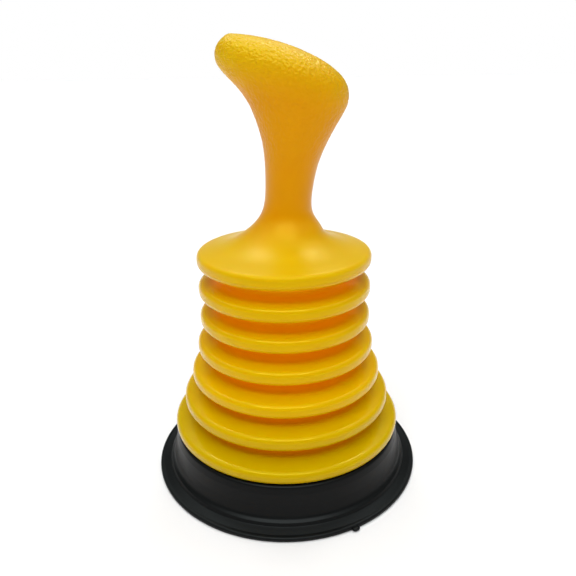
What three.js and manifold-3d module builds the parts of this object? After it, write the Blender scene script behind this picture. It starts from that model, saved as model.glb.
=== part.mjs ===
// Bellows sink plunger: a hollow blow-moulded body (palm grip, neck, shoulder disc and folds) in a
// rubber cup. Millimetres, +Z up. The origin is the centre of the circle that the cup stands on, and
// the grip's overhang points along -X.
import * as THREE from 'three';
import { mergeVertices } from 'three/addons/utils/BufferGeometryUtils.js';
import Module from 'manifold-3d';

// ---- driving dimensions ----
const CUP_DIAMETER = 140; // over the flared lip
const CUP_HEIGHT = 21.9; // from the floor to the top of the rubber flange
const RUBBER = 3; // thickness of the rubber
const LIP_BEAD = 2.4; // diameter of the bead along the lip
const CUFF_CORNER = 0.6; // extra rubber in the corner under the flange
const SHOULDER_SETBACK = 0.9; // how far the cup's shoulder sits in from the bottom fold's edge
const FOLD_DIAMETER = 86; // over the shoulder disc and the upper folds
const BOTTOM_FOLD_DIAMETER = 119; // over the lowest fold
const FOLD_COUNT = 6; // folds under the shoulder disc
const STRAIGHT_FOLDS = 2; // how many of them are as wide as the shoulder disc
const CLOSE_FOLDS = 2; // how many gaps at the bottom are closer than the others
const FOLD_PITCH = 15.1; // from crest to crest
const CLOSE_PITCH = 14.2; // the same, in the close gaps
const FOLD_DEPTH = 13; // from a crest in to the root of the web below it
const RIM_UP = 3; // how far a crest's rim stands above its widest circle
const RIM_DOWN = 4.2; // and how far it hangs below it
const RIM_REACH = 6; // how far a crest's stiff rim reaches in from its widest circle
const FLANK_SLOPE = 0.16; // how much a web rises or falls for each millimetre inwards
const WALL = 1.8; // wall of the blow-moulded body
const COLLAR_DIAMETER = 89; // outside of the collar that carries the cup
const BEAD = 2.6; // how far the retaining bead stands out of the collar
const BEAD_HEIGHT = 3.1; // of the retaining bead, at the collar's foot
const NECK_DIAMETER = 22.4; // at the narrowest
const GRIP_LENGTH = 59; // of the palm grip, along X
const GRIP_DEPTH = 32.8; // of the palm grip, along Y
const HANDLE_HEIGHT = 99.6; // from the shoulder disc's widest circle to the top of the grip
const NUB_DIAMETER = 3; // moulding gate nub on the lip
const NUB_AZIMUTH = -63.5; // degrees from +X

// ---- clearances ----
const JOIN_GAP = 0.3; // between the stretches of the moulded body
const SEAT_GAP = 0.5; // between the bottom fold and the rubber flange
const BEAD_GAP = 0.4; // between the retaining bead and the rubber, and around the collar

// ---- how finely round shapes are divided ----
const AROUND = 24;
const AROUND_CUP = 40;

const YELLOW = new THREE.MeshStandardMaterial({ color: 0xf0b80c, roughness: 0.38, metalness: 0 });
const WEB_YELLOW = new THREE.MeshStandardMaterial({ color: 0xe0a008, roughness: 0.42, metalness: 0 });
const BLACK = new THREE.MeshStandardMaterial({ color: 0x1c1c1c, roughness: 0.55, metalness: 0 });

const wasm = await Module();
wasm.setup();

const plunger = new THREE.Group();

/** Radius of the widest circle of fold k, where fold 0 is the shoulder disc. */
function crestRadius(k) {
  const share = Math.max(0, k - STRAIGHT_FOLDS) / (FOLD_COUNT - STRAIGHT_FOLDS);
  return FOLD_DIAMETER / 2 + ((BOTTOM_FOLD_DIAMETER - FOLD_DIAMETER) / 2) * share ** 1.5;
}

/** Height of the widest circle of fold k. */
function crestHeight(k) {
  const bottom = CUP_HEIGHT + SEAT_GAP + RIM_DOWN;
  const gaps = FOLD_COUNT - k;
  const close = Math.min(gaps, CLOSE_FOLDS);
  return bottom + close * CLOSE_PITCH + (gaps - close) * FOLD_PITCH;
}

/** Turns a list of [radius, height] points, closed on itself, into a ring. */
function ring(points, around) {
  const profile = [...points, points[0]].map(([r, z]) => new THREE.Vector2(r, z));
  const geometry = new THREE.LatheGeometry(profile, around);
  return geometry.rotateX(Math.PI / 2);
}

/** Points of an arc about (r, z), from one angle to another in degrees. */
function arc(r, z, radius, from, to, steps) {
  return Array.from({ length: steps + 1 }, (_, i) => {
    const angle = THREE.MathUtils.degToRad(from + ((to - from) * i) / steps);
    return [r + radius * Math.cos(angle), z + radius * Math.sin(angle)];
  });
}

/** A line with a wall behind it: the line, and back along its left side at the wall's thickness. */
function walled(line, wall) {
  const back = line.map((point, i) => {
    const before = line[Math.max(0, i - 1)];
    const after = line[Math.min(line.length - 1, i + 1)];
    const along = new THREE.Vector2(after[0] - before[0], after[1] - before[1]).normalize();
    return [point[0] - along.y * wall, point[1] + along.x * wall];
  });
  return [...line, ...back.reverse()];
}

/** Height of a crest's upper flank (side 1) or lower flank (side -1), a distance in from its edge. */
function flankHeight(k, side, inwards) {
  const rim = side > 0 ? RIM_UP : RIM_DOWN;
  return crestHeight(k) + side * (rim + FLANK_SLOPE * (inwards - rim));
}

/** Outer line of a crest's rounded rim, from its lower flank up to its upper flank. */
function rimLine(k) {
  const radius = crestRadius(k);
  const height = crestHeight(k);
  return [
    ...arc(radius - RIM_DOWN, height, RIM_DOWN, -80, -20, 2),
    ...arc(radius - RIM_UP, height, RIM_UP, 0, 80, 2),
  ];
}

function add(name, geometry, material) {
  const mesh = new THREE.Mesh(geometry, material.clone());
  mesh.name = name;
  plunger.add(mesh);
}

// ---- fold crests and the webs between them ----

function foldCrest(k) {
  const inner = crestRadius(k) - RIM_REACH;
  const line = [
    [inner, flankHeight(k, -1, RIM_REACH)],
    ...rimLine(k),
    [inner, flankHeight(k, 1, RIM_REACH)],
  ];
  return ring(walled(line, WALL), AROUND);
}

/** The flexible V between fold k - 1 above and fold k below. */
function foldWeb(k) {
  const reach = RIM_REACH + JOIN_GAP;
  const root = crestRadius(k - 1) - FOLD_DEPTH;
  const upper = flankHeight(k - 1, -1, crestRadius(k - 1) - root);
  const lower = flankHeight(k, 1, crestRadius(k) - root);
  const bend = (upper - lower) / 2;
  const line = [
    [crestRadius(k) - reach, flankHeight(k, 1, reach)],
    ...arc(root + bend, (upper + lower) / 2, bend, 270, 90, 3),
    [crestRadius(k - 1) - reach, flankHeight(k - 1, -1, reach)],
  ];
  return ring(walled(line, WALL), AROUND);
}

// ---- bottom fold with the collar and bead that the rubber cup grips ----

function bottomFold() {
  const edge = crestRadius(FOLD_COUNT);
  const under = crestHeight(FOLD_COUNT) - RIM_DOWN;
  const collar = COLLAR_DIAMETER / 2;
  const beadTop = CUP_HEIGHT - RUBBER - BEAD_GAP;
  const foot = beadTop - BEAD_HEIGHT;
  const inner = edge - RIM_REACH;
  const outside = [
    [collar, foot],
    [collar + BEAD, foot + BEAD_HEIGHT * 0.4],
    [collar + BEAD, foot + BEAD_HEIGHT * 0.7],
    [collar, beadTop],
    [collar, under],
    ...rimLine(FOLD_COUNT),
    [inner, flankHeight(FOLD_COUNT, 1, RIM_REACH)],
  ];
  const inside = [
    [inner, flankHeight(FOLD_COUNT, 1, RIM_REACH) - WALL],
    ...arc(edge - RIM_UP, crestHeight(FOLD_COUNT), RIM_UP - WALL, 80, 0, 2),
    ...arc(edge - RIM_DOWN, crestHeight(FOLD_COUNT), RIM_DOWN - WALL, -20, -80, 2),
    [collar - WALL, under + WALL],
    [collar - WALL, foot],
  ];
  return ring([...outside, ...inside], AROUND);
}

// ---- rubber cup ----

/** A closed geometry as a manifold-3d solid. */
function toSolid(geometry) {
  const bare = geometry.clone();
  bare.deleteAttribute('normal');
  bare.deleteAttribute('uv');
  const merged = mergeVertices(bare, 1e-4);
  return new wasm.Manifold(new wasm.Mesh({
    numProp: 3,
    vertProperties: new Float32Array(merged.attributes.position.array),
    triVerts: new Uint32Array(merged.index.array),
  }));
}

/** A manifold-3d solid as a geometry. */
function toGeometry(solid) {
  const mesh = solid.getMesh();
  const geometry = new THREE.BufferGeometry();
  geometry.setAttribute('position', new THREE.BufferAttribute(mesh.vertProperties, 3));
  geometry.setIndex(new THREE.BufferAttribute(mesh.triVerts, 1));
  return geometry;
}

function rubberCup() {
  const lip = CUP_DIAMETER / 2;
  const cuff = RUBBER + CUFF_CORNER;
  const pocket = COLLAR_DIAMETER / 2 + BEAD + BEAD_GAP;
  const shoulder = Math.max(crestRadius(FOLD_COUNT) - SHOULDER_SETBACK, pocket + cuff);
  const flare = lip - shoulder;
  const bead = LIP_BEAD / 2;
  const top = CUP_HEIGHT;
  const hole = COLLAR_DIAMETER / 2 + BEAD_GAP;
  const outside = [
    [lip - 3 * bead, 0],
    [lip - bead / 2, 0],
    ...arc(lip - bead, bead, bead, 0, 90, 2),
    [lip - flare * 0.32, top * 0.12],
    [lip - flare * 0.52, top * 0.19],
    [lip - flare * 0.6, top * 0.285],
    [lip - flare * 0.76, top * 0.41],
    [lip - flare * 0.95, top * 0.66],
    [shoulder, top * 0.86],
    [shoulder - 0.9, top * 0.96],
    [shoulder - 3, top],
    [hole, top],
  ];
  const inside = [
    [hole, top - RUBBER],
    [shoulder - cuff, top - RUBBER],
    [lip - flare * 0.95 - RUBBER, top * 0.64],
    [lip - flare * 0.76 - RUBBER, top * 0.37],
    [lip - flare * 0.6 - RUBBER, top * 0.22],
    [lip - flare * 0.25 - RUBBER, top * 0.1],
  ];
  const cup = toSolid(ring([...outside, ...inside], AROUND_CUP));
  const azimuth = THREE.MathUtils.degToRad(NUB_AZIMUTH);
  const nub = new THREE.CylinderGeometry(NUB_DIAMETER / 2, NUB_DIAMETER / 2, NUB_DIAMETER, 12);
  nub.rotateZ(Math.PI / 2);
  nub.translate(lip, 0, NUB_DIAMETER / 2 + 0.1);
  nub.rotateZ(azimuth);
  return toGeometry(cup.add(toSolid(nub)));
}

// ---- handle: palm grip, neck and shoulder disc ----

// Round sections of the neck from the bottom up: rise as a share of the handle's height above the
// shoulder disc's widest circle, lean as a share of the grip's length, girth as a share of the neck's
// diameter.
const NECK_SECTIONS = [
  { rise: 0.169, lean: 0.025, girth: 1.29 },
  { rise: 0.248, lean: 0.035, girth: 1.02 },
  { rise: 0.325, lean: 0.046, girth: 1 },
  { rise: 0.418, lean: 0.067, girth: 1.095 },
  { rise: 0.51, lean: 0.09, girth: 1.268 },
];

// Sections of the palm grip above them. Each is an ellipse drawn between a point on the left outline
// and one on the right outline. X is a share of the grip's length, Z a share of the handle's height,
// and depth a share of the grip's depth.
const GRIP_SECTIONS = [
  { left: [-0.183, 0.603], right: [0.417, 0.608], depth: 0.9 },
  { left: [-0.247, 0.703], right: [0.503, 0.693], depth: 0.95 },
  { left: [-0.331, 0.777], right: [0.51, 0.749], depth: 0.985 },
  { left: [-0.412, 0.828], right: [0.468, 0.811], depth: 1 },
  { left: [-0.476, 0.874], right: [0.305, 0.889], depth: 0.935 },
  { left: [-0.492, 0.915], right: [0.034, 0.958], depth: 0.77 },
  { left: [-0.479, 0.947], right: [-0.203, 0.991], depth: 0.54 },
  { left: [-0.447, 0.976], right: [-0.339, 1], depth: 0.26 },
];
const GRIP_TIP = [-0.404, 0.998];

/** A round section about a vertical line at x. */
function roundSection(radius, height, x = 0) {
  return { left: [x - radius, height], right: [x + radius, height], depth: radius };
}

/** Places a point that is given in shares of the grip's length and the handle's height. */
function onHandle([x, z]) {
  return [x * GRIP_LENGTH, crestHeight(0) + z * HANDLE_HEIGHT];
}

/** The neck's and grip's sections in millimetres, drawn in by a wall's thickness. */
function handleSections(inset) {
  const neck = NECK_SECTIONS.map(({ rise, lean, girth }) => {
    const [x, z] = onHandle([lean, rise]);
    return roundSection((girth * NECK_DIAMETER) / 2, z, x);
  });
  const grip = GRIP_SECTIONS.map(({ left, right, depth }) => ({
    left: onHandle(left),
    right: onHandle(right),
    depth: (depth * GRIP_DEPTH) / 2,
  }));
  const all = [...neck, ...grip];
  const drawnIn = (side, i, turn) => {
    const before = all[Math.max(0, i - 1)][side];
    const after = all[i + 1]?.[side] ?? onHandle(GRIP_TIP);
    const along = new THREE.Vector2(after[0] - before[0], after[1] - before[1]).normalize();
    const [x, z] = all[i][side];
    return [x + turn * along.y * inset, z - turn * along.x * inset];
  };
  return all.map(({ depth }, i) => ({
    left: drawnIn('left', i, 1),
    right: drawnIn('right', i, -1),
    depth: depth - inset,
  }));
}

/** Closed skin over a list of sections, with a point at each end. */
function loft(firstTip, sections, lastTip) {
  const points = [firstTip[0], 0, firstTip[1]];
  for (const { left, right, depth } of sections) {
    for (let i = 0; i < AROUND; i += 1) {
      const angle = (2 * Math.PI * i) / AROUND;
      const share = (1 + Math.cos(angle)) / 2;
      points.push(
        THREE.MathUtils.lerp(left[0], right[0], share),
        depth * Math.sin(angle),
        THREE.MathUtils.lerp(left[1], right[1], share),
      );
    }
  }
  points.push(lastTip[0], 0, lastTip[1]);
  const faces = [];
  const at = (section, i) => 1 + section * AROUND + (i % AROUND);
  const last = sections.length - 1;
  for (let i = 0; i < AROUND; i += 1) {
    faces.push(0, at(0, i + 1), at(0, i));
    for (let s = 0; s < last; s += 1) {
      faces.push(at(s, i), at(s, i + 1), at(s + 1, i + 1));
      faces.push(at(s, i), at(s + 1, i + 1), at(s + 1, i));
    }
    faces.push(at(last, i), at(last, i + 1), 1 + sections.length * AROUND);
  }
  const geometry = new THREE.BufferGeometry();
  geometry.setAttribute('position', new THREE.Float32BufferAttribute(points, 3));
  geometry.setIndex(faces);
  return geometry;
}

function handle() {
  const edge = crestRadius(0);
  const inner = edge - RIM_REACH;
  const top = crestHeight(0) + RIM_UP;
  const foot = (NECK_SECTIONS[0].girth * NECK_DIAMETER) / 2;
  const rise = onHandle([0, NECK_SECTIONS[0].rise])[1] - top;
  const outerLine = [
    [inner, flankHeight(0, -1, RIM_REACH)],
    ...rimLine(0),
    [inner, top + FLANK_SLOPE * (RIM_REACH - RIM_UP)],
    [THREE.MathUtils.lerp(foot, inner, 0.65), top + rise * 0.21],
    [THREE.MathUtils.lerp(foot, inner, 0.33), top + rise * 0.46],
    [THREE.MathUtils.lerp(foot, inner, 0.14), top + rise * 0.74],
  ];
  const shell = walled(outerLine, WALL);
  const round = (line) => line.map(([r, z]) => roundSection(r, z));
  const outside = round(shell.slice(0, outerLine.length));
  const inside = round(shell.slice(outerLine.length));
  const hollow = handleSections(WALL).slice(0, -1).reverse();
  const { left, right } = hollow[0];
  const roof = [(left[0] + right[0]) / 2, (left[1] + right[1]) / 2 + JOIN_GAP];
  return loft(roof, [...hollow, ...inside, ...outside, ...handleSections(0)], onHandle(GRIP_TIP));
}

add('handle', handle(), YELLOW);
for (let k = 1; k <= FOLD_COUNT; k += 1) {
  add(`fold_web_${k}`, foldWeb(k), WEB_YELLOW);
  if (k < FOLD_COUNT) {
    add(`fold_crest_${k}`, foldCrest(k), YELLOW);
  }
}
add('bottom_fold', bottomFold(), YELLOW);
add('rubber_cup', rubberCup(), BLACK);

export default plunger;
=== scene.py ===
"""Bellows sink plunger: a hollow yellow polyethylene body with a palm grip, in a black rubber cup.

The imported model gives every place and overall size. The classes hold the smaller sizes of their own
pieces in millimetres, and every mesh is made in metres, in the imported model's frame.
"""

from __future__ import annotations

import logging
import math
from collections.abc import Sequence
from dataclasses import dataclass
from enum import Enum

import bmesh
import bpy
import numpy as np
from mathutils import Matrix, Vector


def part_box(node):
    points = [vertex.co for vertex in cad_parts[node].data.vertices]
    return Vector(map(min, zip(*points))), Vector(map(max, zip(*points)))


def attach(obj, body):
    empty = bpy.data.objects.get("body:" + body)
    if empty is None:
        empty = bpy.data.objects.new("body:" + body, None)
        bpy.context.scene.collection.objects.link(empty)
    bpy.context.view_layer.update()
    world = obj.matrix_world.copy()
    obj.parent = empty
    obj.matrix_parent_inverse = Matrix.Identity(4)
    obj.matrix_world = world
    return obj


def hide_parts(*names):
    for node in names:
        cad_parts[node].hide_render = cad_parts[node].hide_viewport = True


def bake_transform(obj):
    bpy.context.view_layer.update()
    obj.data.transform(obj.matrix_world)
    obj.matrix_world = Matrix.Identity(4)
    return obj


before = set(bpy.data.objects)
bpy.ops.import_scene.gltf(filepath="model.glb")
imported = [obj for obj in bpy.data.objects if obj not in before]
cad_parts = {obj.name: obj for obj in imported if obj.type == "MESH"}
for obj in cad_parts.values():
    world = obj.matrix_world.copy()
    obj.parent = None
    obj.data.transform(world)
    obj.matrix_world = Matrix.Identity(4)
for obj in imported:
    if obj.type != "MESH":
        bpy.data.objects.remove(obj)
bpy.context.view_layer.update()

LOG = logging.getLogger("plunger")

Tree = bpy.types.NodeTree
Node = bpy.types.Node
Socket = bpy.types.NodeSocket
Value = float | tuple[float, ...] | Socket | Node
Inputs = dict[str | int, Value]
Colour = tuple[float, float, float, float]
Section = tuple[np.ndarray, np.ndarray, float]

MM = 0.001
AROUND = 192  # steps in a full turn
GRIP_AROUND = 2 * AROUND
INNER_AROUND = AROUND // 2
INNER_SKIP = 3  # an inner wall takes every third section
SHARP_ANGLE = math.radians(40)
MERGE_DISTANCE = 1e-6
STRAIGHT = 1e-3  # a turn, in radians, too small to round
FEWEST_ARC_STEPS = 4
TRIAL_SECTIONS = 2000  # sections drawn to measure distances along the handle
NO_FOLD = (0.0, -1.0)  # radii that give no fold depth anywhere
FOLD_DEPTH = "fold_depth"
MATH, VECTOR_MATH, MAP_RANGE = "ShaderNodeMath", "ShaderNodeVectorMath", "ShaderNodeMapRange"
NOISE, MIX = "ShaderNodeTexNoise", "ShaderNodeMix"
MIX_FIRST, MIX_SECOND, MIX_RESULT = 6, 7, 2  # sockets of the mix node when it mixes colours


class Slot(Enum):
    """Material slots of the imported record."""

    YELLOW = "yellow_plastic"
    RUBBER = "black_rubber"


# ---------------------------------------------------------------- colours and nodes


def linear(code: str) -> Colour:
    """Turn an sRGB hex colour into linear light.

    Args:
        code: six hex digits, such as "f2b20c".

    Returns:
        Linear red, green, blue and an alpha of 1.
    """
    channels = [int(code[i : i + 2], 16) / 255 for i in (0, 2, 4)]
    light = [c / 12.92 if c <= 0.04045 else ((c + 0.055) / 1.055) ** 2.4 for c in channels]
    return (light[0], light[1], light[2], 1.0)


def feed(node: Node, inputs: Inputs) -> None:
    """Set a node's inputs.

    Args:
        node: the node.
        inputs: an input's name or number to a plain value, a socket, or a node, which gives its first output.
    """
    for key, value in inputs.items():
        source = value.outputs[0] if isinstance(value, Node) else value
        if isinstance(source, Socket):
            node.id_data.links.new(source, node.inputs[key])
        else:
            node.inputs[key].default_value = source


def add_node(tree: Tree, kind: str, inputs: Inputs | tuple[Value, ...] = (), **settings) -> Node:
    """Add a node with its settings, values and links.

    Args:
        tree: node tree that gets the node.
        kind: Blender's name for the node type.
        inputs: what feed takes, or a tuple of the same in the node's own order.
        **settings: attributes of the node itself.

    Returns:
        The new node.
    """
    made = tree.nodes.new(kind)
    for key, value in settings.items():
        setattr(made, key, value)
    feed(made, dict(enumerate(inputs)) if isinstance(inputs, tuple) else inputs)
    return made


def weighted_sum(tree: Tree, start: Value, terms: Sequence[tuple[Value, float]]) -> Value:
    """Add up terms, each times its weight.

    Args:
        tree: node tree that gets the nodes.
        start: what the sum starts from.
        terms: each term and its weight.

    Returns:
        The sum.
    """
    total = start
    for term, weight in terms:
        total = add_node(tree, MATH, (term, weight, total), operation="MULTIPLY_ADD")
    return total


# ---------------------------------------------------------------- finishes


@dataclass(frozen=True)
class PolyethyleneFinish:
    """Blow-moulded high-density polyethylene, pigmented through with yellow.

    The wax-like plastic lets a little light in by a weak subsurface scatter; a painted orange emission far
    into the folds stands in for the light that turns the shadows between them orange. Around the neck the
    yellow is deeper, partly from the thicker wall and partly as painted shade; away from it, on the shoulder
    and the grip's top, it is yellower, partly as painted light. Towards the foot painted shade makes it
    darker and greener.
    The folds took the polish of the mould, the shoulder is satin, and the grip has a leather grain.
    """

    name: str
    # pigment, with painted light and shade in it: deeper around the middle of the neck (thicker wall and
    # painted shade), yellower away from it (thinner wall and painted light), darker and greener at the foot
    # (painted shade), a little cloudy all over
    thin_and_lit_colour: str = "deab00"
    thick_and_shaded_colour: str = "dd8f00"
    foot_shade_colour: str = "c8a000"
    thick_and_shaded_within_mm: float = 26.0
    thin_and_lit_beyond_mm: float = 52.0
    neck_share: float = 0.5
    cloudiness: float = 0.12
    # light inside the wall: a weak subsurface scatter, and a painted orange emission far into the folds that
    # stands in for light coming through the webs
    translucency: float = 0.3
    translucency_radius: tuple[float, float, float] = (1.0, 0.4, 0.05)
    translucency_mm: float = 0.8
    painted_glow_colour: str = "ff8400"
    painted_glow_strength: float = 0.19
    painted_glow_from: float = 0.2
    painted_glow_full: float = 0.75
    # gloss: polished folds, a satin shoulder, a grip that breaks highlights up
    refraction: float = 1.5
    sheen_colour: str = "ffe750"
    reflectivity: float = 0.5
    grain_reflectivity: float = 0.8
    fold_roughness: float = 0.16
    satin_roughness: float = 0.34
    grain_roughness: float = 0.37
    peel_roughness: float = 0.06
    satin_rise_mm: float = 5.0
    grain_from_mm: float = 36.0
    grain_full_mm: float = 74.0
    # relief: slow waves of the cooled wall, its fine peel, the grip's pebbles, the mould's parting line
    wave_mm: float = 14.0
    wave_height_mm: float = 0.03
    wave_layers: float = 3.0
    peel_mm: float = 0.5
    peel_height_mm: float = 0.0015
    peel_layers: float = 2.0
    grain_mm: float = 1.0
    grain_height_mm: float = 0.07
    grain_softness: float = 0.6
    seam_half_width_mm: float = 0.22
    seam_height_mm: float = 0.06

    def material(self) -> bpy.types.Material:
        """Build the material.

        Returns:
            The node material.
        """
        made = bpy.data.materials.new(self.name)
        made.use_nodes = True
        tree = made.node_tree
        place = add_node(tree, "ShaderNodeTexCoord").outputs["Object"]
        parts = add_node(tree, "ShaderNodeSeparateXYZ", {0: place})
        height = parts.outputs["Z"]
        low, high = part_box("handle")
        disc = low.z
        neck = (0.0, 0.0, disc + (high.z - disc) * self.neck_share)
        reach = add_node(tree, VECTOR_MATH, (place, neck), operation="DISTANCE").outputs["Value"]
        depth = add_node(tree, "ShaderNodeAttribute", attribute_name=FOLD_DEPTH).outputs["Fac"]
        off_centre = add_node(tree, MATH, (parts.outputs["Y"],), operation="ABSOLUTE")
        steps = (
            (height, disc, disc + self.satin_rise_mm * MM),
            (height, disc + self.grain_from_mm * MM, disc + self.grain_full_mm * MM),
            # painted shade: darker and greener towards the foot
            (height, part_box("bottom_fold")[1].z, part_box("fold_crest_4")[1].z),
            # partly painted: deeper near the neck (thicker wall and painted shade), yellower away from it
            # (painted light)
            (reach, self.thick_and_shaded_within_mm * MM, self.thin_and_lit_beyond_mm * MM),
            # where the painted orange emission lies, far into the folds
            (depth, self.painted_glow_from, self.painted_glow_full),
            (off_centre, 0.0, self.seam_half_width_mm * MM),
        )
        satin, grain, above_foot_shade, thin_and_lit, painted_glow_mask, off_seam = (
            add_node(
                tree,
                MAP_RANGE,
                {"Value": value, "From Min": start, "From Max": end},
                interpolation_type="SMOOTHSTEP",
            )
            for value, start, end in steps
        )
        cloud, peel = (
            add_node(tree, NOISE, {"Vector": place, "Scale": 1 / (size * MM), "Detail": layers})
            for size, layers in ((self.wave_mm, self.wave_layers), (self.peel_mm, self.peel_layers))
        )
        pebbles = add_node(
            tree,
            "ShaderNodeTexVoronoi",
            {"Vector": place, "Scale": 1 / (self.grain_mm * MM), "Smoothness": self.grain_softness},
            feature="SMOOTH_F1",
        )

        # colour by distance from the neck: thicker wall with painted shade near it, painted light away from
        # it
        share = weighted_sum(tree, -self.cloudiness / 2, [(thin_and_lit, 1.0), (cloud, self.cloudiness)])
        thick_and_shaded_colour, thin_and_lit_colour = linear(self.thick_and_shaded_colour), linear(self.thin_and_lit_colour)
        body = add_node(
            tree, MIX, {"Factor": share, MIX_FIRST: thick_and_shaded_colour, MIX_SECOND: thin_and_lit_colour}, data_type="RGBA"
        ).outputs[MIX_RESULT]
        # painted shade: the colour turns darker and greener towards the foot
        colour = add_node(
            tree,
            MIX,
            {"Factor": above_foot_shade, MIX_FIRST: linear(self.foot_shade_colour), MIX_SECOND: body},
            data_type="RGBA",
        ).outputs[MIX_RESULT]
        gloss = weighted_sum(
            tree,
            self.fold_roughness - self.peel_roughness / 2,
            [
                (peel, self.peel_roughness),
                (satin, self.satin_roughness - self.fold_roughness),
                (grain, self.grain_roughness - self.satin_roughness),
            ],
        )
        relief = weighted_sum(
            tree,
            0.0,
            [
                (cloud, self.wave_height_mm * MM),
                (peel, self.peel_height_mm * MM),
                (off_seam, -self.seam_height_mm * MM),
                (add_node(tree, MATH, (pebbles, grain), operation="MULTIPLY"), -self.grain_height_mm * MM),
            ],
        )
        feed(
            tree.nodes["Principled BSDF"],
            {
                "Base Color": colour,
                "Roughness": gloss,
                "Normal": add_node(tree, "ShaderNodeBump", {"Height": relief, "Distance": 1.0}),
                "IOR": self.refraction,
                "Specular IOR Level": weighted_sum(
                    tree, self.reflectivity, [(grain, self.grain_reflectivity - self.reflectivity)]
                ),
                "Specular Tint": linear(self.sheen_colour),
                "Subsurface Weight": self.translucency,
                "Subsurface Radius": self.translucency_radius,
                "Subsurface Scale": self.translucency_mm * MM,
                # painted light: an orange emission far into the folds, where no lamp is
                "Emission Color": linear(self.painted_glow_colour),
                "Emission Strength": weighted_sum(tree, 0.0, [(painted_glow_mask, self.painted_glow_strength)]),
            },
        )
        return made


@dataclass(frozen=True)
class RubberFinish:
    """Press-moulded natural rubber filled with carbon black.

    Carbon black leaves it almost without colour, and the fine skin of the mould spreads highlights wide.
    A trace of bloom, the wax that rubber sweats out, greys it in patches.
    """

    name: str
    colour: str = "070707"
    bloom_colour: str = "0e0e0e"
    roughness: float = 0.3
    bloom_roughness: float = 0.14
    bloom_mm: float = 18.0
    bloom_layers: float = 6.0
    skin_mm: float = 0.7
    skin_layers: float = 3.0
    skin_height_mm: float = 0.012
    refraction: float = 1.52
    reflectivity: float = 0.12

    def material(self) -> bpy.types.Material:
        """Build the material.

        Returns:
            The node material.
        """
        made = bpy.data.materials.new(self.name)
        made.use_nodes = True
        tree = made.node_tree
        place = add_node(tree, "ShaderNodeTexCoord").outputs["Object"]
        bloom, skin = (
            add_node(tree, NOISE, {"Vector": place, "Scale": 1 / (size * MM), "Detail": layers})
            for size, layers in ((self.bloom_mm, self.bloom_layers), (self.skin_mm, self.skin_layers))
        )
        plain, bloomed = linear(self.colour), linear(self.bloom_colour)
        relief = weighted_sum(tree, 0.0, [(skin, self.skin_height_mm * MM)])
        feed(
            tree.nodes["Principled BSDF"],
            {
                "Base Color": add_node(
                    tree, MIX, {"Factor": bloom, MIX_FIRST: plain, MIX_SECOND: bloomed}, data_type="RGBA"
                ).outputs[MIX_RESULT],
                "Roughness": weighted_sum(tree, self.roughness, [(bloom, self.bloom_roughness)]),
                "Normal": add_node(tree, "ShaderNodeBump", {"Height": relief, "Distance": 1.0}),
                "IOR": self.refraction,
                "Specular IOR Level": self.reflectivity,
            },
        )
        return made


@dataclass(frozen=True)
class FloorFinish:
    """Matt white board that the plunger stands on: it shows only the softest shadow."""

    name: str = "white_board"
    colour: str = "f3e8e8"
    roughness: float = 0.9
    reflectivity: float = 0.1

    def material(self) -> bpy.types.Material:
        """Build the material.

        Returns:
            The node material.
        """
        made = bpy.data.materials.new(self.name)
        made.use_nodes = True
        feed(
            made.node_tree.nodes["Principled BSDF"],
            {
                "Base Color": linear(self.colour),
                "Roughness": self.roughness,
                "Specular IOR Level": self.reflectivity,
            },
        )
        return made


# ---------------------------------------------------------------- outlines


@dataclass(frozen=True)
class Corner:
    """A corner of an outline: distance from the axis, height and fillet radius, in millimetres."""

    r: float
    z: float
    fillet: float = 0.0


def filleted(corners: Sequence[Corner], arc_step: float = 0.35, run_step: float = 0.9) -> np.ndarray:
    """Draw an open outline through corners, each rounded by its fillet.

    Args:
        corners: corners in order; the first and last stay as they are.
        arc_step: longest step along a fillet.
        run_step: longest step along a straight run.

    Returns:
        Points, one row each: distance from the axis and height.
    """
    spots = [np.array([c.r, c.z]) for c in corners]
    line = [spots[0]]
    for before, spot, after, corner in zip(spots, spots[1:], spots[2:], corners[1:]):
        into = (spot - before) / np.linalg.norm(spot - before)
        out = (after - spot) / np.linalg.norm(after - spot)
        turn = math.acos(float(np.clip(into @ out, -1, 1)))
        if corner.fillet <= 0 or turn < STRAIGHT:
            line.append(spot)
            continue
        tangent = corner.fillet * math.tan(turn / 2)
        start = spot - into * tangent
        side = math.copysign(1, into[0] * out[1] - into[1] * out[0])
        centre = start + side * corner.fillet * np.array([-into[1], into[0]])
        steps = max(FEWEST_ARC_STEPS, math.ceil(corner.fillet * turn / arc_step))
        for i in range(steps + 1):
            angle = side * turn * i / steps
            spin = np.array([[math.cos(angle), -math.sin(angle)], [math.sin(angle), math.cos(angle)]])
            line.append(centre + spin @ (start - centre))
    line.append(spots[-1])
    dense = [line[0]]
    for a, b in zip(line, line[1:]):
        steps = max(1, math.ceil(np.linalg.norm(b - a) / run_step))
        dense.extend(a + (b - a) * i / steps for i in range(1, steps + 1))
    return np.array(dense)


def set_back(line: np.ndarray, wall: float) -> np.ndarray:
    """Offset a line to its left side.

    Args:
        line: points of the line.
        wall: distance to offset.

    Returns:
        The offset points, in the same order.
    """
    along = np.gradient(line, axis=0)
    along /= np.linalg.norm(along, axis=1, keepdims=True)
    return line + wall * np.column_stack([-along[:, 1], along[:, 0]])


def through(values: np.ndarray, at: np.ndarray) -> np.ndarray:
    """Evaluate a natural cubic curve through evenly numbered values.

    Args:
        values: one row for each whole number from 0.
        at: numbers between 0 and the last row's.

    Returns:
        One row for each number in at.
    """
    count = len(values)
    matrix = np.eye(count)
    bends = np.zeros_like(values)
    for i in range(1, count - 1):
        matrix[i, i - 1 : i + 2] = (1, 4, 1)
        bends[i] = 6 * (values[i + 1] - 2 * values[i] + values[i - 1])
    bends = np.linalg.solve(matrix, bends)
    low = np.clip(np.floor(at).astype(int), 0, count - 2)
    b = (at - low)[:, None]
    a = 1 - b
    straight = a * values[low] + b * values[low + 1]
    return straight + ((a**3 - a) * bends[low] + (b**3 - b) * bends[low + 1]) / 6


# ---------------------------------------------------------------- geometry nodes


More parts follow.
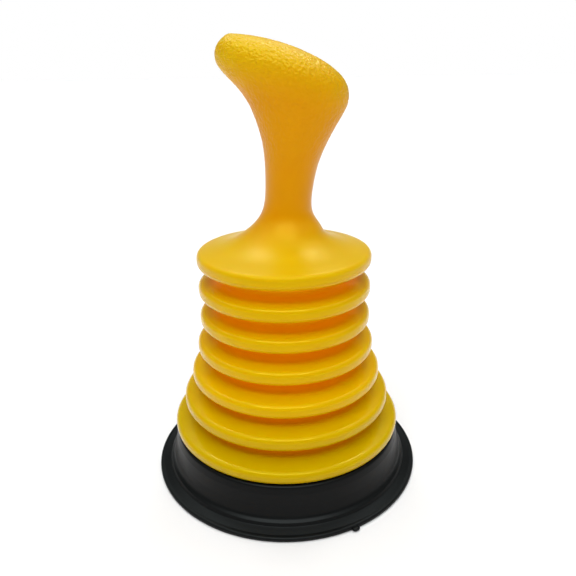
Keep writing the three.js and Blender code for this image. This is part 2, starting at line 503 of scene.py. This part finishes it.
class NodeTool:
    """A geometry node tree with named inputs, applied to an object and then removed."""

    def __init__(self, name: str, sockets: dict[str, str]) -> None:
        """Start the tree.

        Args:
            name: name of the tree.
            sockets: input name to socket type, after the geometry.
        """
        self.tree = bpy.data.node_groups.new(name, "GeometryNodeTree")
        face = self.tree.interface
        face.new_socket("Geometry", in_out="INPUT", socket_type="NodeSocketGeometry")
        face.new_socket("Geometry", in_out="OUTPUT", socket_type="NodeSocketGeometry")
        self.identifiers = {
            key: face.new_socket(key, in_out="INPUT", socket_type=kind).identifier
            for key, kind in sockets.items()
        }
        self.source = add_node(self.tree, "NodeGroupInput")

    def close(self, geometry: Node) -> None:
        """End the tree: real geometry, smooth, with its material.

        Args:
            geometry: node that gives the shaped geometry.
        """
        smooth = add_node(self.tree, "GeometryNodeSetShadeSmooth", {"Geometry": geometry})
        real = add_node(self.tree, "GeometryNodeRealizeInstances", {"Geometry": smooth})
        finish = self.source.outputs["Finish"]
        dressed = add_node(self.tree, "GeometryNodeSetMaterial", {"Geometry": real, "Material": finish})
        add_node(self.tree, "NodeGroupOutput", {0: dressed})

    def apply(self, piece: bpy.types.Object, **values) -> None:
        """Run the tree on an object and keep the result as its plain mesh.

        Args:
            piece: object whose mesh goes into the tree.
            **values: input name, with _ for a space, to its value.
        """
        modifier = piece.modifiers.new(self.tree.name, "NODES")
        modifier.node_group = self.tree
        for key, value in values.items():
            modifier[self.identifiers[key.replace("_", " ")]] = value
        graph = bpy.context.evaluated_depsgraph_get()
        result = bpy.data.meshes.new_from_object(piece.evaluated_get(graph))
        piece.modifiers.remove(modifier)
        piece.data = result


def build_turning_tool() -> NodeTool:
    """Make the tree that turns a closed outline about the plunger's axis.

    Returns:
        The tool. Its object holds the outline as loose vertices in order.
    """
    tool = NodeTool(
        "Turn about the axis",
        {
            "Around": "NodeSocketInt",
            "Rim radius": "NodeSocketFloat",
            "Root radius": "NodeSocketFloat",
            "Finish": "NodeSocketMaterial",
        },
    )
    tree, source = tool.tree, tool.source
    around, outline = source.outputs["Around"], source.outputs["Geometry"]
    count = add_node(tree, "GeometryNodeAttributeDomainSize", {0: outline}).outputs["Point Count"]
    rows = add_node(tree, MATH, (count, 1.0), operation="ADD")
    columns = add_node(tree, MATH, (around, 1.0), operation="ADD")
    grid = add_node(tree, "GeometryNodeMeshGrid", {"Vertices X": columns, "Vertices Y": rows})

    index = add_node(tree, "GeometryNodeInputIndex")
    middle = add_node(tree, MATH, (index, 0.5), operation="ADD")
    ratio = add_node(tree, MATH, (middle, rows), operation="DIVIDE")
    column = add_node(tree, MATH, (ratio,), operation="FLOOR")
    passed = add_node(tree, MATH, (column, rows), operation="MULTIPLY")
    row = add_node(tree, MATH, (index, passed), operation="SUBTRACT")
    spot = add_node(
        tree,
        "GeometryNodeSampleIndex",
        {
            "Geometry": outline,
            "Value": add_node(tree, "GeometryNodeInputPosition"),
            "Index": add_node(tree, MATH, (row, count), operation="FLOORED_MODULO"),
        },
        data_type="FLOAT_VECTOR",
    )
    step = add_node(tree, MATH, (math.tau, around), operation="DIVIDE")
    angle = add_node(tree, MATH, (column, step), operation="MULTIPLY")
    place = add_node(tree, "ShaderNodeVectorRotate", {"Vector": spot, "Angle": angle}, rotation_type="Z_AXIS")
    turned = add_node(tree, "GeometryNodeSetPosition", {"Geometry": grid, "Position": place})
    # depth into the fold, which the material uses for its painted orange emission
    depth = add_node(
        tree,
        MAP_RANGE,
        {
            "Value": add_node(tree, "ShaderNodeSeparateXYZ", {0: spot}).outputs["X"],
            "From Min": source.outputs["Rim radius"],
            "From Max": source.outputs["Root radius"],
        },
    )
    marked = add_node(
        tree,
        "GeometryNodeStoreNamedAttribute",
        {"Geometry": turned, "Name": FOLD_DEPTH, "Value": depth},
        data_type="FLOAT",
        domain="POINT",
    )
    inputs = {"Geometry": marked, "Distance": MERGE_DISTANCE}
    tool.close(add_node(tree, "GeometryNodeMergeByDistance", inputs))
    return tool


def build_grain_tool() -> NodeTool:
    """Make the tree that presses leather grain into a surface above a given height.

    Returns:
        The tool.
    """
    tool = NodeTool(
        "Press leather grain",
        {
            "Pebble": "NodeSocketFloat",
            "Relief": "NodeSocketFloat",
            "From height": "NodeSocketFloat",
            "Full height": "NodeSocketFloat",
            "Seed": "NodeSocketFloat",
            "Finish": "NodeSocketMaterial",
        },
    )
    crease_below, crown_above = 0.38, 0.6
    crease_depth, crown_height = -0.6, 0.4
    wander_share, centred = 0.5, (0.5, 0.5, 0.5)
    wander_layers, pebble_layers = 1.0, 1.5

    tree, source = tool.tree, tool.source
    pebble, seed = source.outputs["Pebble"], source.outputs["Seed"]
    where = add_node(tree, "GeometryNodeInputPosition")
    scale = add_node(tree, MATH, (1.0, pebble), operation="DIVIDE")
    wander = add_node(
        tree,
        NOISE,
        {"Vector": where, "Scale": scale, "W": seed, "Detail": wander_layers},
        noise_dimensions="4D",
    ).outputs["Color"]
    shift = add_node(tree, VECTOR_MATH, (wander, centred), operation="SUBTRACT")
    length = add_node(tree, MATH, (pebble, wander_share), operation="MULTIPLY")
    push = add_node(tree, VECTOR_MATH, {0: shift, "Scale": length}, operation="SCALE")
    bent = add_node(tree, VECTOR_MATH, (where, push), operation="ADD")
    pebbles = add_node(
        tree,
        NOISE,
        {"Vector": bent, "Scale": scale, "W": seed, "Detail": pebble_layers},
        noise_dimensions="4D",
    )
    height = add_node(tree, "ShaderNodeSeparateXYZ", {0: where}).outputs["Z"]
    steps = (
        (pebbles, crease_below, crown_above),
        (height, source.outputs["From height"], source.outputs["Full height"]),
    )
    crown, share = (
        add_node(
            tree,
            MAP_RANGE,
            {"Value": value, "From Min": start, "From Max": end},
            interpolation_type="SMOOTHSTEP",
        )
        for value, start, end in steps
    )
    relief = weighted_sum(tree, crease_depth, [(crown, crown_height - crease_depth)])
    pressed = add_node(tree, MATH, (relief, share), operation="MULTIPLY")
    amount = add_node(tree, MATH, (pressed, source.outputs["Relief"]), operation="MULTIPLY")
    normal = add_node(tree, "GeometryNodeInputNormal")
    offset = add_node(tree, VECTOR_MATH, {0: normal, "Scale": amount}, operation="SCALE")
    surface = source.outputs["Geometry"]
    tool.close(add_node(tree, "GeometryNodeSetPosition", {"Geometry": surface, "Offset": offset}))
    return tool


# ---------------------------------------------------------------- meshes


def tidy(piece: bpy.types.Object) -> None:
    """Point a closed mesh's faces outwards, smooth them, and keep true corners sharp.

    Args:
        piece: mesh object.
    """
    work = bmesh.new()
    work.from_mesh(piece.data)
    bmesh.ops.remove_doubles(work, verts=work.verts, dist=MERGE_DISTANCE / 2)
    bmesh.ops.recalc_face_normals(work, faces=work.faces)
    for face in work.faces:
        face.smooth = True
    for edge in work.edges:
        edge.smooth = len(edge.link_faces) != 2 or edge.calc_face_angle(0.0) < SHARP_ANGLE
    work.to_mesh(piece.data)
    work.free()


def report(piece: bpy.types.Object, body: str) -> None:
    """Log a finished piece.

    Args:
        piece: mesh object.
        body: body or bodies that it moves with.
    """
    triangles = sum(len(face.vertices) - 2 for face in piece.data.polygons)
    LOG.info("%s on %s: %d triangles", piece.name, body, triangles)


def turned_piece(
    name: str,
    outline: np.ndarray,
    tool: NodeTool,
    finish: bpy.types.Material,
    around: int = AROUND,
    fold: tuple[float, float] = NO_FOLD,
) -> bpy.types.Object:
    """Turn a closed outline about the axis.

    Args:
        name: name of the piece.
        outline: points of the closed outline, in millimetres.
        tool: the turning tool.
        finish: the piece's material.
        around: number of steps in a full turn.
        fold: radii, in millimetres, where a fold's depth counts as none and as full.

    Returns:
        The piece.
    """
    mesh = bpy.data.meshes.new(name)
    mesh.from_pydata([(r * MM, 0.0, z * MM) for r, z in outline], [], [])
    piece = bpy.data.objects.new(name, mesh)
    bpy.context.scene.collection.objects.link(piece)
    tool.apply(piece, Around=around, Rim_radius=fold[0] * MM, Root_radius=fold[1] * MM, Finish=finish)
    piece.data.name = name
    tidy(piece)
    return piece


class Skin:
    """A mesh made of rings, each joined to the next."""

    def __init__(self) -> None:
        """Start with no rings."""
        self.points: list[tuple[float, float, float]] = []
        self.faces: list[tuple[int, ...]] = []
        self.last: list[int] = []

    def ring(self, spots: np.ndarray) -> None:
        """Add a ring and join it to the one before.

        Args:
            spots: the ring's points in millimetres; one ring's count divides the other's.
        """
        first = len(self.points)
        self.points.extend(tuple(spot * MM) for spot in spots)
        made = list(range(first, len(self.points)))
        if self.last:
            self.join(self.last, made)
        self.last = made

    def tip(self, spot: np.ndarray) -> None:
        """Close the last ring with a point.

        Args:
            spot: the point in millimetres.
        """
        self.points.append(tuple(spot * MM))
        count = len(self.last)
        self.faces.extend(
            (self.last[i], self.last[(i + 1) % count], len(self.points) - 1) for i in range(count)
        )
        self.last = []

    def join(self, one: list[int], other: list[int]) -> None:
        """Fill the band between two rings.

        Args:
            one: vertex numbers of a ring.
            other: vertex numbers of its neighbour.
        """
        if len(one) == len(other):
            count = len(one)
            self.faces.extend(
                (one[i], one[(i + 1) % count], other[(i + 1) % count], other[i]) for i in range(count)
            )
            return
        fine, coarse = (one, other) if len(one) > len(other) else (other, one)
        ratio = len(fine) // len(coarse)
        for i, corner in enumerate(coarse):
            following = coarse[(i + 1) % len(coarse)]
            run = [fine[(i * ratio + j) % len(fine)] for j in range(ratio + 1)]
            half = ratio // 2
            self.faces.extend((run[j], run[j + 1], corner) for j in range(half))
            self.faces.append((run[half], following, corner))
            self.faces.extend((run[j], run[j + 1], following) for j in range(half, ratio))

    def piece(self, name: str, finish: bpy.types.Material) -> bpy.types.Object:
        """Make the object.

        Args:
            name: name of the piece.
            finish: its material.

        Returns:
            The piece, closed and smooth.
        """
        mesh = bpy.data.meshes.new(name)
        mesh.from_pydata(self.points, [], self.faces)
        mesh.materials.append(finish)
        made = bpy.data.objects.new(name, mesh)
        bpy.context.scene.collection.objects.link(made)
        tidy(made)
        return made


# ---------------------------------------------------------------- bellows


@dataclass(frozen=True)
class Crest:
    """Widest circle of a fold: radius and height, in millimetres, and the body that it moves with."""

    radius: float
    height: float
    body: str


@dataclass
class Bellows:
    """Six folds hung under the shoulder disc, and the collar that grips the cup.

    A fold's skin runs from its own widest circle up to the next one.
    """

    finish: bpy.types.Material
    tool: NodeTool
    fold_count: int = 6
    wall: float = 1.8
    packed_rim_up: float = 3.0
    rim_reach: float = 6.0
    rim_up: float = 2.3
    rim_down: float = 4.2
    upper_fillet: float = 2.65
    lower_fillet: float = 3.3
    flank_slope: float = 0.16
    fold_depth: float = 13.0
    root_fillet_share: float = 0.56
    collar_radius: float = 44.5
    collar_foot: float = 15.4
    foot_fillet: float = 0.4
    bead_top: float = 18.5
    bead_out: float = 2.6
    bead_lead_in: float = 1.2
    bead_lead_out: float = 0.9
    bead_fillets: tuple[float, float, float] = (0.9, 0.7, 0.6)
    corner_fillets: tuple[float, float] = (1.2, 1.4)

    def crests(self) -> list[Crest]:
        """Read the folds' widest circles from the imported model.

        Returns:
            The shoulder disc first and the bottom fold last.
        """
        below = self.rim_down + self.flank_slope * (self.rim_reach - self.rim_down)
        above = self.packed_rim_up + self.flank_slope * (self.rim_reach - self.packed_rim_up)
        low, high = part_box("handle")
        found = [Crest(high.y / MM, low.z / MM + below, "handle")]
        for k in range(1, self.fold_count):
            low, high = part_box(f"fold_crest_{k}")
            found.append(Crest(high.x / MM, high.z / MM - above, f"fold_{k}"))
        low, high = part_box("bottom_fold")
        found.append(Crest(high.x / MM, high.z / MM - above, "cup"))
        return found

    def fold_outline(self, upper: Crest, lower: Crest) -> np.ndarray:
        """Draw the wall between two neighbouring widest circles.

        Args:
            upper: the circle above.
            lower: the circle below.

        Returns:
            Closed outline.
        """
        root = upper.radius - self.fold_depth
        rise = self.flank_slope * (lower.radius - root)
        fall = self.flank_slope * (upper.radius - root)
        top_edge = lower.height + self.rim_up
        under_edge = upper.height - self.rim_down
        bend = self.root_fillet_share * (under_edge - fall - top_edge - rise)
        line = filleted(
            [
                Corner(lower.radius, lower.height),
                Corner(lower.radius, top_edge, self.upper_fillet),
                Corner(root, top_edge + rise, bend),
                Corner(root, under_edge - fall, bend),
                Corner(upper.radius, under_edge, self.lower_fillet),
                Corner(upper.radius, upper.height),
            ]
        )
        return np.vstack([line, set_back(line, self.wall)[::-1]])

    def collar_outline(self, lowest: Crest) -> np.ndarray:
        """Draw the underside of the bottom fold, the collar and its bead.

        Args:
            lowest: the bottom fold's widest circle.

        Returns:
            Closed outline.
        """
        under = lowest.height - self.rim_down
        collar = self.collar_radius
        bead = collar + self.bead_out
        bead_foot, bead_crown, bead_root = self.bead_fillets
        outer_corner, inner_corner = self.corner_fillets
        outside = filleted(
            [
                Corner(collar - self.wall / 2, self.collar_foot),
                Corner(collar, self.collar_foot, self.foot_fillet),
                Corner(bead, self.collar_foot + self.bead_lead_in, bead_foot),
                Corner(bead, self.bead_top - self.bead_lead_out, bead_crown),
                Corner(collar, self.bead_top, bead_root),
                Corner(collar, under, outer_corner),
                Corner(lowest.radius, under, self.lower_fillet),
                Corner(lowest.radius, lowest.height),
            ]
        )
        inside = filleted(
            [
                Corner(lowest.radius - self.wall, lowest.height),
                Corner(lowest.radius - self.wall, under + self.wall, self.lower_fillet - self.wall),
                Corner(collar - self.wall, under + self.wall, inner_corner),
                Corner(collar - self.wall, self.collar_foot, self.foot_fillet),
                Corner(collar - self.wall / 2, self.collar_foot),
            ]
        )
        return np.vstack([outside, inside[:-1]])

    def build(self) -> None:
        """Make the six fold skins and the collar, and fix the collar to its body."""
        crests = self.crests()
        for k, (upper, lower) in enumerate(zip(crests, crests[1:]), start=1):
            fold = (upper.radius, upper.radius - self.fold_depth)
            outline = self.fold_outline(upper, lower)
            piece = turned_piece(f"bellows_fold_{k}", outline, self.tool, self.finish, fold=fold)
            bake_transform(piece)
            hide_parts(f"fold_web_{k}", *([f"fold_crest_{k}"] if k < self.fold_count else []))
            report(piece, f"{lower.body} and {upper.body}")
        collar = turned_piece("collar", self.collar_outline(crests[-1]), self.tool, self.finish)
        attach(collar, crests[-1].body)
        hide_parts("bottom_fold")
        report(collar, crests[-1].body)


# ---------------------------------------------------------------- handle


@dataclass(frozen=True)
class Station:
    """A section of the handle: an ellipse between a left and a right point, with its half depth.

    All in millimetres, with heights counted from the shoulder disc's widest circle.
    """

    left: tuple[float, float]
    right: tuple[float, float]
    depth: float


def round_station(radius: float, height: float, lean: float = 0.0) -> Station:
    """Make a round, level station.

    Args:
        radius: its radius.
        height: its height.
        lean: how far its centre is moved along X.

    Returns:
        The station.
    """
    return Station((lean - radius, height), (lean + radius, height), radius)


@dataclass
class Handle:
    """Shoulder disc, flared neck and palm grip, one hollow moulding."""

    finish: bpy.types.Material
    grain_tool: NodeTool
    crest: Crest
    wall: float = 1.8
    rim_up: float = 2.2
    upper_fillet: float = 2.7
    pebble: float = 1.05
    grain_relief: float = 0.25
    grain_from: float = 2.0
    grain_full: float = 32.0
    grain_seed: float = 4.0
    roof_rise: float = 0.4
    base_step: float = 0.8
    grip_step: float = 0.49
    seam_number: float = 9.0
    tip: tuple[float, float] = (-23.2, 99.4)
    stations: tuple[Station, ...] = (
        round_station(37.0, 3.7),
        round_station(32.5, 4.7),
        round_station(28.0, 6.2),
        round_station(23.5, 8.3),
        round_station(19.6, 11.1, 0.4),
        round_station(16.8, 14.2, 1.3),
        round_station(14.0, 17.8, 1.7),
        round_station(12.1, 21.6, 1.9),
        round_station(11.3, 26.0, 2.3),
        round_station(11.3, 32.0, 2.9),
        Station((-8.3, 41.5), (16.1, 41.5), 12.1),
        Station((-8.9, 51.1), (19.5, 50.8), 13.7),
        Station((-10.8, 60.1), (24.6, 60.6), 14.9),
        Station((-14.6, 70.2), (29.4, 69.1), 15.7),
        Station((-19.5, 77.4), (30.1, 75.0), 16.2),
        Station((-24.3, 82.5), (27.6, 81.0), 16.3),
        Station((-28.0, 87.1), (18.0, 88.6), 15.3),
        Station((-29.0, 91.1), (2.0, 95.4), 12.6),
        Station((-28.3, 94.3), (-12.0, 98.7), 8.9),
        Station((-26.2, 97.2), (-19.9, 99.6), 4.6),
    )

    def sections(self, numbers: np.ndarray, inset: float = 0.0) -> list[Section]:
        """Draw smooth sections between the stations.

        Args:
            numbers: station numbers, whole or not.
            inset: how far the sections are drawn in.

        Returns:
            Left point, right point and half depth of each section.
        """
        left = [(*s.left, s.depth) for s in self.stations]
        right = [(*s.right, -s.depth) for s in reversed(self.stations)]
        lap = np.array([*left, (*self.tip, 0.0), *right], float)
        nudge = 1e-3
        last = len(lap) - 1

        def side(at: np.ndarray) -> np.ndarray:
            """Place points on the lap, which has its inside on the right, and move them inwards.

            Args:
                at: numbers along the lap.

            Returns:
                One row for each number: place and half depth.
            """
            spot = through(lap, at)
            along = (through(lap, at + nudge) - through(lap, at - nudge))[:, :2]
            along /= np.linalg.norm(along, axis=1, keepdims=True)
            spot[:, :2] += inset * np.column_stack([along[:, 1], -along[:, 0]])
            return spot

        lefts, rights = side(numbers), side(last - numbers)
        return [(a[:2], b[:2], max(a[2] - inset, 0.0)) for a, b in zip(lefts, rights)]

    def spaced(self, start: float, end: float, step: float) -> np.ndarray:
        """Number the sections so that neighbours are evenly far apart.

        Args:
            start: first station number.
            end: last station number.
            step: longest distance between two sections' edges.

        Returns:
            Station numbers.
        """
        fine = np.linspace(start, end, TRIAL_SECTIONS)
        shapes = self.sections(fine)
        gaps = [
            max(np.linalg.norm(b[0] - a[0]), np.linalg.norm(b[1] - a[1]), abs(b[2] - a[2]))
            for a, b in zip(shapes, shapes[1:])
        ]
        travelled = np.concatenate([[0.0], np.cumsum(gaps)])
        count = math.ceil(travelled[-1] / step)
        return np.interp(np.linspace(0, travelled[-1], count + 1), travelled, fine)

    def ring(self, left: np.ndarray, right: np.ndarray, depth: float, around: int) -> np.ndarray:
        """Place a section's points.

        Args:
            left: left point, height counted from the widest circle.
            right: right point.
            depth: half depth along Y.
            around: number of points.

        Returns:
            The points in the plunger's frame.
        """
        angle = np.arange(around) * math.tau / around
        middle, reach = (left + right) / 2, (right - left) / 2
        flat = middle + np.cos(angle)[:, None] * reach
        return np.column_stack([flat[:, 0], depth * np.sin(angle), flat[:, 1] + self.crest.height])

    def rim(self) -> np.ndarray:
        """Draw the shoulder disc's upper edge, from its widest circle to the first station."""
        first = self.stations[0]
        return filleted(
            [
                Corner(self.crest.radius, 0.0),
                Corner(self.crest.radius, self.rim_up, self.upper_fillet),
                Corner(first.right[0], first.right[1]),
            ]
        )

    def build_base(self) -> bpy.types.Object:
        """Make the shoulder disc and the neck.

        Returns:
            The piece.
        """
        rim = self.rim()
        skin = Skin()
        for r, z in rim[:-1]:
            skin.ring(self.ring(np.array([-r, z]), np.array([r, z]), r, AROUND))
        numbers = self.spaced(0.0, self.seam_number, self.base_step)
        for section in self.sections(numbers):
            skin.ring(self.ring(*section, AROUND))
        for section in self.sections(numbers[::-INNER_SKIP], self.wall):
            skin.ring(self.ring(*section, INNER_AROUND))
        back = set_back(rim, self.wall)[::-1]
        for r, z in back[INNER_SKIP:]:
            skin.ring(self.ring(np.array([-r, z]), np.array([r, z]), r, INNER_AROUND))
        skin.join(skin.last, list(range(AROUND)))
        return skin.piece("handle_neck", self.finish)

    def build_grip(self) -> bpy.types.Object:
        """Make the palm grip and press its grain.

        Returns:
            The piece.
        """
        end = float(len(self.stations))
        numbers = self.spaced(self.seam_number, end, self.grip_step)
        skin = Skin()
        inner = self.sections(numbers[: -INNER_SKIP - 1 : INNER_SKIP], self.wall)[::-1]
        roof = self.ring(*inner[0], INNER_AROUND)
        skin.ring(roof)
        skin.tip(roof.mean(axis=0) + np.array([0, 0, self.roof_rise]))
        skin.last = list(range(INNER_AROUND))
        for section in inner[1:]:
            skin.ring(self.ring(*section, INNER_AROUND))
        for i, section in enumerate(self.sections(numbers[:-1])):
            spots = self.ring(*section, GRIP_AROUND)
            if i == 0:
                spots[1::2] = (spots[0::2] + np.roll(spots[0::2], -1, axis=0)) / 2
            skin.ring(spots)
        skin.tip(np.array([self.tip[0], 0.0, self.tip[1] + self.crest.height]))
        piece = skin.piece("palm_grip", self.finish)
        seam = (self.stations[int(self.seam_number)].left[1] + self.crest.height) * MM
        self.grain_tool.apply(
            piece,
            Pebble=self.pebble * MM,
            Relief=self.grain_relief * MM,
            From_height=seam + self.grain_from * MM,
            Full_height=seam + self.grain_full * MM,
            Seed=self.grain_seed,
            Finish=self.finish,
        )
        piece.data.name = "palm_grip"
        return piece

    def build(self) -> None:
        """Make both pieces and fix them to the handle."""
        base, grip = self.build_base(), self.build_grip()
        for piece in (base, grip):
            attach(piece, "handle")
            report(piece, "handle")
        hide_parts("handle")


# ---------------------------------------------------------------- rubber cup


@dataclass
class RubberCup:
    """The cup: a flange round the collar, a concave wall with a step, a flared lip with a bead."""

    finish: bpy.types.Material
    tool: NodeTool
    thickness: float = 3.0
    flange_hole: float = 44.9
    flange_fillet: float = 0.4
    shoulder_radius: float = 58.6
    shoulder_slope: float = 1.2
    shoulder_fall: float = 4.0
    shoulder_fillets: tuple[float, float, float] = (1.3, 1.8, 1.2)
    wall_top: Corner = Corner(0.5, 14.0, 10.0)
    lip_outside: tuple[Corner, ...] = (
        Corner(-3.6, 0.0),
        Corner(0.0, 0.0, 1.0),
        Corner(0.0, 2.4, 1.0),
        Corner(-2.1, 2.5, 0.5),
        Corner(-3.9, 3.1, 1.5),
        Corner(-5.8, 3.7, 0.6),
        Corner(-6.4, 5.2, 0.6),
        Corner(-8.2, 6.5, 3.0),
        Corner(-9.4, 12.0, 9.0),
    )
    lip_inside: tuple[Corner, ...] = (
        Corner(-12.6, 9.0, 12.0),
        Corner(-9.6, 4.4, 6.0),
        Corner(-5.0, 1.4, 2.0),
        Corner(-3.6, 0.0),
    )
    nub_radius: float = 2.1
    nub_length: float = 1.7
    nub_flatness: float = 0.5
    nub_taper: float = 0.9
    nub_fillets: tuple[float, float] = (0.2, 1.2)
    nub_steps: tuple[float, float] = (0.15, 0.3)
    nub_around: int = 32
    nub_azimuth: float = -63.5
    axis_radius: float = 0.001
    floor_gap: float = 0.1
    around: int = 256

    def outline(self, lip: float, top: float) -> np.ndarray:
        """Draw the cup's wall.

        Args:
            lip: outer radius of the lip; the lip's own corners are counted from it.
            top: height of the flange.

        Returns:
            Closed outline.
        """
        under = top - self.thickness
        shoulder, inside = self.shoulder_radius, self.shoulder_radius - self.thickness
        turn_in, edge, inner_edge = self.shoulder_fillets
        corners = [
            *(Corner(lip + c.r, c.z, c.fillet) for c in self.lip_outside),
            Corner(shoulder + self.shoulder_slope, top - self.shoulder_fall, turn_in),
            Corner(shoulder, top, edge),
            Corner(self.flange_hole, top, self.flange_fillet),
            Corner(self.flange_hole, under, self.flange_fillet),
            Corner(inside, under, inner_edge),
            Corner(inside + self.wall_top.r, self.wall_top.z, self.wall_top.fillet),
            *(Corner(lip + c.r, c.z, c.fillet) for c in self.lip_inside),
        ]
        return filleted(corners)[:-1]

    def nub(self, lip: float) -> bpy.types.Object:
        """Make the stub that the moulding gate left on the lip.

        Args:
            lip: outer radius of the lip.

        Returns:
            The piece.
        """
        root_fillet, end_fillet = self.nub_fillets
        corners = [
            Corner(self.axis_radius, -self.nub_radius),
            Corner(self.nub_radius, -self.nub_radius, root_fillet),
            Corner(self.nub_radius * self.nub_taper, self.nub_length, end_fillet),
            Corner(self.axis_radius, self.nub_length),
        ]
        outline = filleted(corners, *self.nub_steps)
        piece = turned_piece("gate_nub", outline, self.tool, self.finish, self.nub_around)
        azimuth = math.radians(self.nub_azimuth)
        flattened = Matrix.Diagonal((self.nub_flatness, 1.0, 1.0, 1.0))
        outwards = Matrix.Rotation(azimuth, 4, "Z") @ Matrix.Rotation(math.pi / 2, 4, "Y") @ flattened
        height = self.nub_radius * self.nub_flatness + self.floor_gap
        centre = Vector((math.cos(azimuth) * lip, math.sin(azimuth) * lip, height)) * MM
        piece.data.transform(Matrix.Translation(centre) @ outwards)
        return piece

    def build(self) -> None:
        """Make the cup and its nub and fix them to the cup's body."""
        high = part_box("rubber_cup")[1]
        lip = high.x / MM
        outline = self.outline(lip, high.z / MM)
        cup = turned_piece("rubber_cup_skin", outline, self.tool, self.finish, self.around)
        nub = self.nub(lip)
        for piece in (cup, nub):
            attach(piece, "cup")
            report(piece, "cup")
        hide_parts("rubber_cup")


# ---------------------------------------------------------------- studio


@dataclass(frozen=True)
class SoftBox:
    """A far, round diffuser panel: where it hangs, how wide it looks and the light that it gives.

    Its bearing is counted from the camera's side of the plunger, positive to the right.
    """

    name: str
    bearing: float
    elevation: float
    width: float
    strength: float

    def build(self, tint: tuple[float, float, float]) -> None:
        """Hang the panel and turn it towards the plunger.

        Args:
            tint: colour of its light.
        """
        data = bpy.data.lights.new(self.name, "SUN")
        data.color = tint
        data.energy = self.strength
        data.angle = math.radians(self.width)
        lamp = bpy.data.objects.new(self.name, data)
        bearing, elevation = math.radians(self.bearing), math.radians(self.elevation)
        flat = math.cos(elevation)
        towards = Vector((math.sin(bearing) * flat, -math.cos(bearing) * flat, math.sin(elevation)))
        lamp.rotation_euler = towards.to_track_quat("Z", "Y").to_euler()
        bpy.context.scene.collection.objects.link(lamp)


@dataclass
class Studio:
    """White board and paper, a dome of soft light, diffuser panels and the camera."""

    tint: tuple[float, float, float] = (0.94, 1.05, 1.05)
    horizon: float = 0.42
    walls: float = 0.12
    ceiling: float = 1.6
    horizon_to: float = 10.0
    walls_from: float = 16.0
    walls_to: float = 34.0
    ceiling_from: float = 60.0
    board_half_size: float = 30.0
    sensor_mm: float = 36.0
    lens_mm: float = 35.15
    nearest: float = 0.01
    stand_off: float = 0.2668
    eye_height: float = 0.1984
    pitch_degrees: float = 20.83
    yaw_degrees: float = 0.378
    roll_degrees: float = -0.756
    lights: tuple[SoftBox, ...] = (
        SoftBox("back_left_panel", -150.0, 57.0, 12.0, 0.3),
        SoftBox("back_right_panel", 152.0, 57.0, 12.0, 0.3),
        SoftBox("front_left_panel", -38.0, 57.0, 16.0, 0.42),
        SoftBox("front_panel", -6.0, 57.0, 16.0, 0.42),
        SoftBox("front_right_panel", 26.0, 57.0, 16.0, 0.42),
    )

    def build(self) -> None:
        """Lay the board, hang the lights and set up the camera."""
        self.build_board()
        self.build_surround()
        for light in self.lights:
            light.build(self.tint)
        self.build_camera()
        bpy.context.scene.view_settings.view_transform = "Standard"

    def build_board(self) -> None:
        """Lay the white board."""
        side = self.board_half_size
        mesh = bpy.data.meshes.new("board")
        corners = [(-side, -side, 0), (side, -side, 0), (side, side, 0), (-side, side, 0)]
        mesh.from_pydata(corners, [], [(0, 1, 2, 3)])
        mesh.materials.append(FloorFinish().material())
        board = bpy.data.objects.new("board", mesh)
        bpy.context.scene.collection.objects.link(board)

    def build_surround(self) -> None:
        """Light the scene from a dome that is bright overhead, in front of plain white paper."""
        world = bpy.data.worlds.new("surround")
        world.use_nodes = True
        tree = world.node_tree
        ray = add_node(tree, "ShaderNodeTexCoord").outputs["Generated"]
        height = add_node(tree, "ShaderNodeSeparateXYZ", {0: ray}).outputs["Z"]
        profile = add_node(tree, "ShaderNodeFloatCurve", {"Value": height})
        curve = profile.mapping.curves[0]
        steps = (
            (self.horizon_to, self.horizon),
            (self.walls_from, self.walls),
            (self.walls_to, self.walls),
            (self.ceiling_from, self.ceiling),
        )
        curve.points[0].location = (0.0, self.horizon / self.ceiling)
        curve.points[1].location = (1.0, 1.0)
        for elevation, light in steps:
            curve.points.new(math.sin(math.radians(elevation)), light / self.ceiling)
        for point in curve.points:
            point.handle_type = "VECTOR"
        profile.mapping.update()
        strength = add_node(tree, MATH, (profile, self.ceiling), operation="MULTIPLY")
        dome = tree.nodes["Background"]
        feed(dome, {"Color": (*self.tint, 1.0), "Strength": strength})
        paper = add_node(tree, "ShaderNodeBackground", {"Color": (1.0, 1.0, 1.0, 1.0)})
        seen = add_node(tree, "ShaderNodeLightPath").outputs["Is Camera Ray"]
        shown = add_node(tree, "ShaderNodeMixShader", (seen, dome, paper))
        feed(tree.nodes["World Output"], {"Surface": shown})
        bpy.context.scene.world = world

    def build_camera(self) -> None:
        """Place the camera a hand's height above the folds, looking down on them."""
        data = bpy.data.cameras.new("camera")
        data.lens = self.lens_mm
        data.sensor_width = self.sensor_mm
        data.clip_start = self.nearest
        camera = bpy.data.objects.new("camera", data)
        pitch, yaw, roll = map(math.radians, (self.pitch_degrees, self.yaw_degrees, self.roll_degrees))
        turn = (
            Matrix.Rotation(-yaw, 4, "Z")
            @ Matrix.Rotation(math.pi / 2 - pitch, 4, "X")
            @ Matrix.Rotation(roll, 4, "Z")
        )
        camera.matrix_world = Matrix.Translation((0, -self.stand_off, self.eye_height)) @ turn
        bpy.context.scene.collection.objects.link(camera)
        bpy.context.scene.camera = camera


# ---------------------------------------------------------------- assembly


def main() -> None:
    """Build the plunger and its studio."""
    logging.basicConfig(level=logging.INFO, format="%(message)s")
    Studio().build()
    yellow = PolyethyleneFinish("blow_moulded_polyethylene").material()
    rubber = RubberFinish("carbon_black_rubber").material()
    turning, graining = build_turning_tool(), build_grain_tool()

    bellows = Bellows(yellow, turning)
    bellows.build()
    Handle(yellow, graining, bellows.crests()[0]).build()
    RubberCup(rubber, turning).build()


if __name__ == "__main__":
    main()
